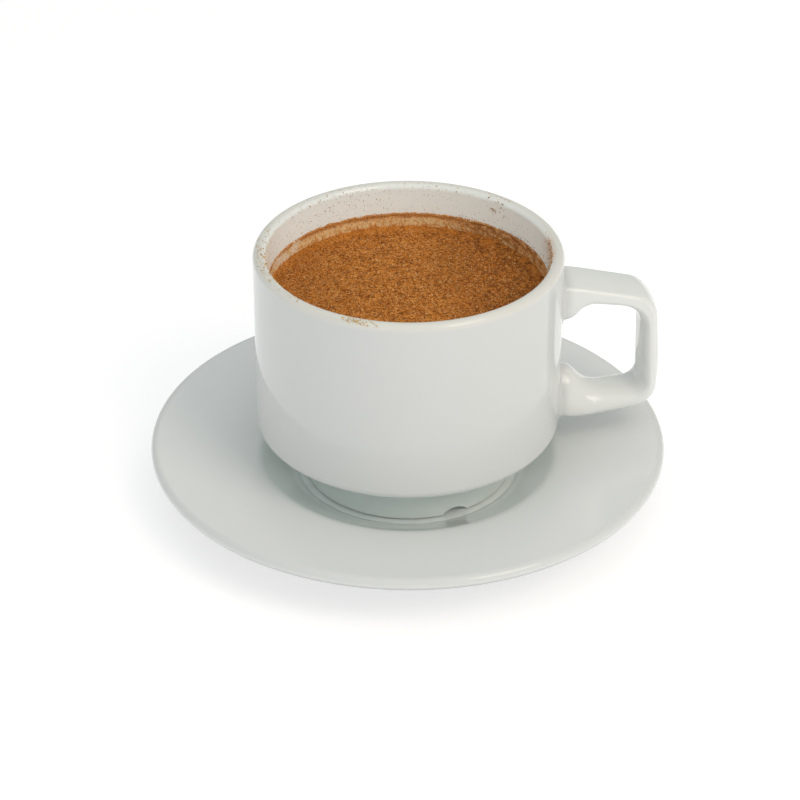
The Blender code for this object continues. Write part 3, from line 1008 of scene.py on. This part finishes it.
def cinnamon():
    """Ground cinnamon over the drink: fine grain in warm browns, smoother along the wall.

    It is darker towards the handle's side, in blotches and a little all over, and less so on the far side.
    """
    finish = Finish("cinnamon_dusting", {"IOR": 1.40, "Specular IOR Level": 0.2})
    across = finish.axis("X")
    calm = finish.between(finish.radius(), *DAMP_BORDER)
    grain = finish.noise(0.00036, 4.0, 0.65)
    coarse = finish.noise(0.0011, 3.0, 0.6)
    blotch = finish.noise(0.0026, 3.0, 0.55)
    cloud = finish.noise(0.0090, 4.0, 0.6)
    mixed = grain * 0.80 + coarse * 0.40 + blotch * 0.28 + cloud * 0.14 - 0.31
    powder = finish.node("ValToRGB", {"stops": POWDER_STOPS}, {0: mixed})
    cells = finish.cells(BARK_CELL)
    dark = finish.between(finish.channel(cells, 0), 0.80, 0.88)
    light = finish.between(finish.channel(cells, 1), 0.88, 0.94)
    clots = finish.between(coarse * 0.6 + blotch * 0.4, 0.47, 0.56)
    wander = (cloud - 0.5) * SIDE_DARK_WANDER
    # Darker towards the handle's side and less so on the far side, partly in blotches and partly evenly.
    thick = finish.between(across + wander, *HANDLE_SIDE_DARK_FROM)
    thin = finish.between(wander - across, *FAR_SIDE_DARK_FROM)
    layers = [
        (dark * 0.70, DARK_BARK_BIT),
        (light * 0.50, PALE_BARK_BIT),
        (calm * 0.52, finish.mix(coarse, *DAMP_POWDER)),
        (thick * (0.08 + clots * 0.72), HANDLE_SIDE_DARK),
        (thin * (0.04 + clots * 0.40), FAR_SIDE_DARK),
    ]
    finish.set("Base Color", finish.layers(powder, layers))
    finish.set("Roughness", 0.82 - calm * 0.20)
    height = grain + coarse * 0.6
    finish.set("Normal", finish.bump(height, POWDER_DEPTH, 0.75))
    return finish.material


# Film on the wall: sectors in degrees from the handle and heights in metres.
FILM_TANS = ((0.850, 0.460, 0.170), (0.985, 0.760, 0.420))
CREAM = (0.940, 0.800, 0.610)
CREAM_SECTOR = ((128.0, 138.0), (156.0, 166.0))
CREAM_HEIGHTS = (0.0642, 0.0650)
TIDE_BROWNS = ((0.300, 0.100, 0.022), (0.800, 0.350, 0.100))
TIDE_LINE_LOW = 0.0669
TIDE_LINE_FADE = 0.0006
HANDLE_SECTOR = ((-30.0, 10.0), (52.0, 68.0))
CLOD_SIZE = 0.0029
CLOD_FLATNESS = 2.3
DARK_CLOD = (0.290, 0.108, 0.028)
PALE_CLOD = (0.950, 0.680, 0.370)
SPECK_BROWN = (0.190, 0.075, 0.022)
FLECK_YELLOW = (0.620, 0.480, 0.170)
DAMP_FILM = ((0.480, 0.160, 0.020), (0.700, 0.270, 0.045))
DAMP_HEIGHTS = (0.0634, 0.0656)
FILM_GRAIN_DEPTH = 0.00015


def film():
    """Salep dried on the wall: tan with cinnamon specks, brown along its tide line.

    It is cloddy in the handle's sector, and creamy in a sector at the other side of the cup.
    """
    finish = Finish("salep_film", {"IOR": 1.42, "Specular IOR Level": 0.35})
    height = finish.axis("Z")
    angle = finish.angle()
    speck = finish.noise(0.00042, 3.0, 0.7)
    mottle = finish.noise(0.00110, 3.0, 0.6)
    blotch = finish.noise(0.0030, 3.0)
    ragged = (mottle - 0.5) * 0.0030 + (speck - 0.5) * 0.0016 + (blotch - 0.5) * 0.0010
    near_handle = finish.sector(angle, *HANDLE_SECTOR)
    cream = finish.sector(angle, *CREAM_SECTOR) * finish.between(blotch, 0.42, 0.52)
    cream = cream * finish.between(height + ragged * 0.5, *CREAM_HEIGHTS)
    tan = finish.mix(finish.between(mottle, 0.36, 0.60), *FILM_TANS)
    brown = finish.mix(finish.between(speck, 0.34, 0.64), *TIDE_BROWNS)
    line_low = TIDE_LINE_LOW - near_handle * 0.0012 + cream * 0.0013
    line_high = line_low + TIDE_LINE_FADE + near_handle * 0.0008
    wandering = ragged * (1.0 + near_handle * 1.3)
    line = finish.between(height + wandering, line_low, line_high)
    patch = finish.between(blotch * 0.5 + mottle * 0.5, 0.46, 0.55)
    squeezed = {0: finish.axis("X"), 1: finish.axis("Y"), 2: height * CLOD_FLATNESS}
    clod = finish.noise(CLOD_SIZE, 4.0, 0.65, finish.node("CombineXYZ", None, squeezed))
    dark_clod = finish.between(clod, 0.50, 0.57) * near_handle
    pale_clod = (1.0 - finish.between(clod, 0.40, 0.46)) * near_handle
    specks = 1.0 - finish.between(speck, 0.35, 0.42)
    flecks = finish.between(finish.noise(0.00060, 2.0, 0.6), 0.64, 0.70)
    climb = ragged * (2.2 + near_handle * 1.6)
    damp_low, damp_high = DAMP_HEIGHTS
    damp = 1.0 - finish.between(height + climb, damp_low, damp_high + near_handle * 0.0006)
    layers = [
        (cream, CREAM),
        (line * (0.90 - 0.25 * near_handle * blotch), brown),
        (patch * (0.18 + near_handle * 0.24) * (1.0 - cream), brown),
        (dark_clod * 0.60, DARK_CLOD),
        (pale_clod * 0.78, PALE_CLOD),
        (specks * (0.75 - cream * 0.5), SPECK_BROWN),
        (flecks * 0.5, FLECK_YELLOW),
        (damp * 0.9, finish.mix(mottle, *DAMP_FILM)),
    ]
    finish.set("Base Color", finish.layers(tan, layers))
    finish.set("Roughness", 0.42 + 0.25 * speck)
    finish.set("Normal", finish.bump(speck + mottle, FILM_GRAIN_DEPTH, 0.6))
    return finish.material


BARK_GRAIN_DEPTH = 0.00008


def bark(name, dark, light):
    """Ground bark between two shades, in patches with a fine fibre."""
    finish = Finish(name, {"IOR": 1.40, "Roughness": 0.85, "Specular IOR Level": 0.25})
    patch = finish.noise(0.0009, 2.0)
    fibre = finish.noise(0.00018, 3.0)
    shade = finish.between(patch, 0.32, 0.68)
    finish.set("Base Color", finish.mix(shade * 0.75 + fibre * 0.25, dark, light))
    finish.set("Normal", finish.bump(fibre, BARK_GRAIN_DEPTH, 0.6))
    return finish.material


FLOOR_GLOW = 0.54
FLOOR_PALES = ((0.635, 0.630, 0.640), (0.645, 0.640, 0.650))


def table():
    """Plain pale floor, lit a little from below like a light table."""
    finish = Finish("pale_floor", {"Specular IOR Level": 0.1, "Emission Strength": FLOOR_GLOW})
    finish.set("Emission Color", (1.0, 1.0, 1.0, 1.0))
    cloud = finish.noise(0.25, 2.0)
    finish.set("Base Color", finish.mix(cloud, *FLOOR_PALES))
    finish.set("Roughness", 0.85 + 0.05 * cloud)
    return finish.material


def dress(piece, material):
    """Give a piece its material and its place in the part."""
    piece.data.materials.clear()
    piece.data.materials.append(material)
    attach(piece, "root")


# ---- stage ----


FLOOR_HALF = 4.0
VIEW_AIM = (0.0, 0.0, 0.0365)
VIEW_DISTANCE = 0.7407
VIEW_ELEVATION = math.radians(31.06)
VIEW_AZIMUTH = math.radians(-8.5)
VIEW_ROLL = math.radians(0.27)
VIEW_LENS = 115.18
VIEW_SHIFT = (-0.0100, -0.0314)
ROOM_COLOUR = (0.93, 1.0, 0.965, 1.0)
ROOM_STRENGTH = 0.50
# Lamps: name, azimuth and elevation in degrees, distance, size, power and colour.
LAMPS = [
    ("key_lamp", 38.0, 44.0, 1.1, 0.50, 3.0, (1.0, 0.865, 0.71)),
    ("front_lamp", 0.0, 52.0, 1.6, 1.60, 2.8, (0.96, 1.0, 0.98)),
    ("overhead_lamp", 0.0, 90.0, 2.2, 2.4, 8.6, (1.0, 0.95, 0.96)),
]


def add_floor():
    """A plain floor under the saucer."""
    corners = [(-1, -1), (1, -1), (1, 1), (-1, 1)]
    vertices = [(x * FLOOR_HALF, y * FLOOR_HALF, 0.0) for x, y in corners]
    floor = add_piece("floor", vertices, [(0, 1, 2, 3)])
    floor.data.materials.append(table())
    floor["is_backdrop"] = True


def looking_at_cup(turn, tilt, distance):
    """A place that faces the cup, tilted from straight above it and turned round it."""
    aim = Matrix.Translation(VIEW_AIM)
    back = Matrix.Translation((0.0, 0.0, distance))
    return aim @ Matrix.Rotation(turn, 4, "Z") @ Matrix.Rotation(tilt, 4, "X") @ back


def add_lamp(name, azimuth, elevation, distance, size, power, colour):
    """A soft square lamp that looks at the cup."""
    data = bpy.data.lights.new(name, "AREA")
    data.shape = "SQUARE"
    data.size = size
    data.energy = power
    data.color = colour
    tilt = math.radians(90.0 - elevation)
    add_object(name, data).matrix_world = looking_at_cup(math.radians(azimuth), tilt, distance)


def add_light():
    """An even pale room, a warm lamp on the handle's side, a soft one in front, a wide one above."""
    world = bpy.data.worlds.new("soft_room")
    bpy.context.scene.world = world
    world.use_nodes = True
    background = world.node_tree.nodes["Background"]
    background.inputs["Color"].default_value = ROOM_COLOUR
    background.inputs["Strength"].default_value = ROOM_STRENGTH
    for lamp in LAMPS:
        add_lamp(*lamp)
    bpy.context.scene.view_settings.view_transform = "Standard"


def add_camera():
    """The view from a little above the table."""
    data = bpy.data.cameras.new("view")
    data.lens = VIEW_LENS
    data.shift_x, data.shift_y = VIEW_SHIFT
    camera = add_object("view", data)
    tilt = math.radians(90.0) - VIEW_ELEVATION
    roll = Matrix.Rotation(VIEW_ROLL, 4, "Z")
    camera.matrix_world = looking_at_cup(VIEW_AZIMUTH, tilt, VIEW_DISTANCE) @ roll
    bpy.context.scene.camera = camera


# ---- the part ----

saucer = turned("saucer_fine", saucer_profile(), SAUCER_SECTORS)
finish_edges(saucer)
saucer_glaze = glaze("saucer_glaze", saucer_body, BARE_HEIGHT, SAUCER_UNDER_SHADE)
dress(saucer, saucer_glaze)
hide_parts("saucer")

cup = turned("cup_fine", cup_profile(), CUP_SECTORS)
combine(cup, make_handle(), "UNION")
combine(cup, make_notch_cutter(), "DIFFERENCE")
finish_edges(cup)
cup_glaze = glaze("cup_glaze", cup_body, FOOT_BOTTOM + BARE_HEIGHT, CUP_UNDER_SHADE)
dress(cup, cup_glaze)
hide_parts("cup")

drink = make_drink()
dress(drink, cinnamon())
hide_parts("salep_drink")

skin = make_film()
dress(skin, film())

DARK_BARK = bark("dark_bark", (0.085, 0.024, 0.005), (0.250, 0.080, 0.014))
RED_BARK = bark("red_bark", (0.340, 0.100, 0.014), (0.640, 0.220, 0.032))
PALE_BARK = bark("pale_bark", (0.600, 0.255, 0.065), (0.830, 0.480, 0.190))
GOLDEN_BARK = bark("golden_bark", (0.560, 0.270, 0.075), (0.840, 0.560, 0.260))
DUSTY_BARK = bark("dusty_bark", (0.170, 0.090, 0.040), (0.400, 0.250, 0.130))
TIDE_BARK = bark("tide_bark", (0.190, 0.068, 0.016), (0.460, 0.180, 0.048))
RUST_BARK = bark("rust_bark", (0.330, 0.130, 0.034), (0.620, 0.320, 0.100))
YELLOW_BARK = bark("yellow_bark", (0.480, 0.280, 0.055), (0.780, 0.560, 0.160))

# Patches of grains on the cup: wall or lip, seed, count, angles in degrees from the handle, and
# heights on the wall in metres or turns round the lip in degrees.
TIDE_PATCHES = [
    (wall_place, 21, 1500, (-180.0, 180.0), (0.0674, FILM_TOP)),
    (wall_place, 22, 1500, (-20.0, 72.0), (0.0652, FILM_TOP + 0.0001)),
    (wall_place, 23, 700, (-180.0, 128.0), (0.0642, 0.0672)),
]
CLOT_PATCHES = [
    (wall_place, 52, 640, (0.0, 180.0), (0.0650, FILM_TOP)),
    (wall_place, 53, 900, (-10.0, 80.0), (0.0650, FILM_TOP + 0.0001)),
    (wall_place, 63, 26, (-10.0, 80.0), (FILM_TOP, FILM_TOP + 0.0012)),
    (wall_place, 64, 420, (-10.0, 80.0), (0.0641, 0.0668)),
]
YELLOW_PATCHES = [
    (lip_place, 60, 74, (150.0, 218.0), (55.0, 160.0)),
    (lip_place, 42, 70, (235.0, 252.0), (35.0, 95.0)),
    (lip_place, 55, 12, (206.0, 226.0), (60.0, 120.0)),
]
GOLDEN_PATCHES = [
    (wall_place, 25, 500, (-20.0, 128.0), (0.0650, FILM_TOP)),
    (lip_place, 41, 54, (150.0, 214.0), (60.0, 165.0)),
    (lip_place, 43, 30, (-30.0, 10.0), (130.0, 178.0)),
]
DUST_PATCHES = [
    (wall_place, 31, 360, (14.0, 180.0), (FILM_TOP, 0.0772)),
    (wall_place, 32, 90, (96.0, 128.0), (0.0695, 0.0772)),
    (wall_place, 34, 44, (5.0, 60.0), (FILM_TOP, 0.0735)),
    (lip_place, 33, 110, (50.0, 170.0), (80.0, 175.0)),
    (lip_place, 56, 48, (146.0, 216.0), (60.0, 168.0)),
]
CRUMB_PATCHES = [
    (lip_place, 44, 16, (36.0, 50.0), (95.0, 170.0)),
    (wall_place, 45, 12, (41.0, 46.0), (0.0733, 0.0746)),
    (wall_place, 57, 8, (36.0, 41.0), (0.0730, 0.0770)),
    (lip_place, 46, 12, (56.0, 82.0), (95.0, 170.0)),
    (lip_place, 58, 14, (100.0, 136.0), (100.0, 172.0)),
    (wall_place, 59, 24, (84.0, 150.0), (FILM_TOP, 0.0770)),
    (lip_place, 49, 34, (148.0, 214.0), (65.0, 168.0)),
    (lip_place, 62, 14, (236.0, 250.0), (45.0, 95.0)),
    (lip_place, 50, 46, (-28.0, 6.0), (135.0, 178.0)),
    (lip_place, 65, 64, (-26.0, 6.0), (142.0, 180.0)),
    (wall_place, 48, 34, (-14.0, 10.0), (FILM_TOP, 0.0760)),
]
# Loose grains: name, seed, places, sizes, how long for their width, and bark.
GRAINS = [
    ("pale_grains", 11, places_on_dusting(1, 6000, 0.60), (0.00016, 0.00036), (1.0, 1.6), PALE_BARK),
    ("red_grains", 12, places_on_dusting(2, 6000, 0.90), (0.00018, 0.00038), (1.0, 1.8), RED_BARK),
    ("dark_grains", 13, places_on_dusting(3, 5600, 0.80), (0.00015, 0.00034), (1.0, 2.0), DARK_BARK),
    ("bark_slivers", 14, places_on_dusting(4, 1100, 0.50), (0.00014, 0.00024), (2.5, 5.0), DARK_BARK),
    ("pale_crumbs", 15, places_on_dusting(5, 70, 0.10), (0.00036, 0.00060), (1.0, 1.7), PALE_BARK),
    ("tide_grains", 24, places_in(TIDE_PATCHES), (0.00014, 0.00034), (1.0, 1.8), RED_BARK),
    ("tide_clots", 54, places_in(CLOT_PATCHES), (0.00014, 0.00036), (1.0, 2.0), TIDE_BARK),
    ("yellow_crumbs", 61, places_in(YELLOW_PATCHES), (0.00020, 0.00044), (1.0, 1.9), YELLOW_BARK),
    ("golden_crumbs", 47, places_in(GOLDEN_PATCHES), (0.00018, 0.00042), (1.0, 1.9), GOLDEN_BARK),
    ("wall_dust", 35, places_in(DUST_PATCHES), (0.00010, 0.00025), (1.0, 1.8), DUSTY_BARK),
    ("lip_crumbs", 51, places_in(CRUMB_PATCHES), (0.00020, 0.00044), (1.0, 1.9), RUST_BARK),
]
for name, seed, places, sizes, stretches, material in GRAINS:
    dress(make_grains(name, seed, places, sizes, stretches), material)

add_floor()
add_light()
add_camera()

sizes = {"cad": [list(corner) for corner in solid_box], "visual": [list(corner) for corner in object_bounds()]}
